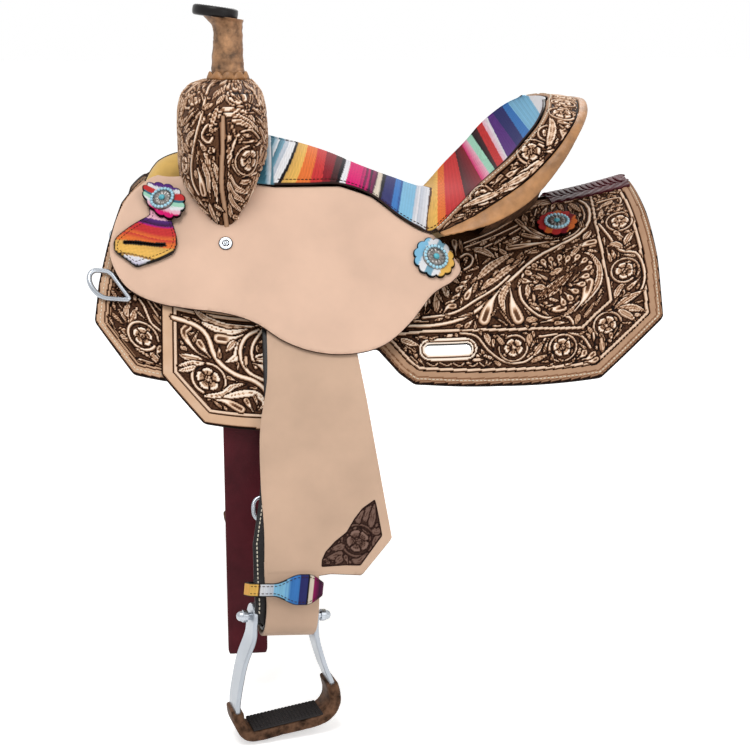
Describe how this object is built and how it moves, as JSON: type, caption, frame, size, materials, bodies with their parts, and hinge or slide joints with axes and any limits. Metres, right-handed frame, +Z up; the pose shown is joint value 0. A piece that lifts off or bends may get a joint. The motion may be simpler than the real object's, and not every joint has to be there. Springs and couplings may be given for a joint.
{
  "type": "western barrel racing saddle",
  "caption": "Western barrel racing saddle with a tall horn, deep striped seat, high cantle, tooled skirts, swinging fenders, slanted stirrups and hanging cinch straps.",
  "frame": {"origin": "on the centre plane at the ridge of the back under the saddle, midway between the flare of the skirts in front and behind", "axes": "-X towards the horn and the horse's head, -Y towards the near side with the latigo, +Z up"},
  "size_m": [0.6318, 0.6996, 0.7435],
  "materials": {
    "tooled_leather": "floral tooled leather with a dark stained ground",
    "rough_out_leather": "rough-out suede, light tan",
    "caramel_leather": "smooth caramel leather",
    "dark_leather": "dark oiled leather",
    "burgundy_leather": "waxed burgundy latigo leather",
    "striped_leather": "leather with a striped woven-look face",
    "wrap_leather": "brown laced leather wrap",
    "fleece": "wool fleece",
    "foam": "seat padding",
    "steel": "polished steel",
    "aluminium": "satin aluminium",
    "concho": "silver coloured concho with blue stones on leather",
    "wood": "wooden saddle tree",
    "rubber": "ribbed rubber tread"
  },
  "bodies": {
    "saddle": {"skirt_left": "tooled_leather", "fleece_lining_left": "fleece", "rigging_leather_left": "tooled_leather", "rigging_plate_left": "steel", "tree_bar_left": "wood", "seat_jockey_left": "rough_out_leather", "latigo_keeper_left": "striped_leather", "front_concho_left": "concho", "seat_concho_left": "concho", "rear_concho_left": "concho", "jockey_screw_left": "steel", "breast_dee_left": "steel", "skirt_right": "tooled_leather", "fleece_lining_right": "fleece", "rigging_leather_right": "tooled_leather", "rigging_plate_right": "steel", "tree_bar_right": "wood", "seat_jockey_right": "rough_out_leather", "latigo_keeper_right": "striped_leather", "front_concho_right": "concho", "seat_concho_right": "concho", "rear_concho_right": "concho", "jockey_screw_right": "steel", "breast_dee_right": "steel", "swell_cover": "tooled_leather", "fork_core": "wood", "gullet_plate": "steel", "horn_neck_wrap": "caramel_leather", "horn_post": "steel", "horn_cap": "dark_leather", "horn_collar": "caramel_leather", "seat_cover": "striped_leather", "seat_foam": "foam", "ground_seat": "steel", "cantle_roll": "tooled_leather", "cantle_binding": "caramel_leather", "cantle_core": "wood", "cantle_back": "caramel_leather", "rear_lacing": "burgundy_leather"},
    "fender_left_assembly": {"fender_left": "rough_out_leather", "stirrup_leather_left": "dark_leather", "stirrup_buckle_left": "steel", "stirrup_sleeve_left": "dark_leather", "hobble_strap_left": "striped_leather"},
    "stirrup_left_assembly": {"stirrup_frame_left": "aluminium", "stirrup_bolt_left": "steel", "stirrup_wrap_left": "wrap_leather", "stirrup_tread_left": "rubber"},
    "fender_right_assembly": {"fender_right": "rough_out_leather", "stirrup_leather_right": "dark_leather", "stirrup_buckle_right": "steel", "stirrup_sleeve_right": "dark_leather", "hobble_strap_right": "striped_leather"},
    "stirrup_right_assembly": {"stirrup_frame_right": "aluminium", "stirrup_bolt_right": "steel", "stirrup_wrap_right": "wrap_leather", "stirrup_tread_right": "rubber"},
    "latigo_strap": {"latigo": "burgundy_leather"},
    "off_billet_strap": {"off_billet": "burgundy_leather"}
  },
  "joints": [
    {"name": "fender_left_swing", "type": "hinge", "parent": "saddle", "child": "fender_left_assembly", "pos_m": [-0.106, -0.16034, -0.04677], "axis": [0, -0.848, 0.5299], "range_deg": [-18, 30]},
    {"name": "stirrup_left_turn", "type": "hinge", "parent": "fender_left_assembly", "child": "stirrup_left_assembly", "pos_m": [-0.1276, -0.318, -0.3579], "axis": [0.9681, 0.2235, -0.1132], "range_deg": [-60, 35]},
    {"name": "fender_right_swing", "type": "hinge", "parent": "saddle", "child": "fender_right_assembly", "pos_m": [-0.106, 0.16034, -0.04677], "axis": [0, 0.848, 0.5299], "range_deg": [-30, 18]},
    {"name": "stirrup_right_turn", "type": "hinge", "parent": "fender_right_assembly", "child": "stirrup_right_assembly", "pos_m": [-0.1276, 0.318, -0.3579], "axis": [0.9681, -0.2235, -0.1132], "range_deg": [-35, 60]},
    {"name": "latigo_swing", "type": "hinge", "parent": "saddle", "child": "latigo_strap", "pos_m": [-0.164, -0.20981, -0.15733], "axis": [0, -0.848, 0.5299], "range_deg": [-30, 30]},
    {"name": "off_billet_swing", "type": "hinge", "parent": "saddle", "child": "off_billet_strap", "pos_m": [-0.164, 0.20981, -0.15733], "axis": [0, 0.848, 0.5299], "range_deg": [-30, 30]}
  ]
}
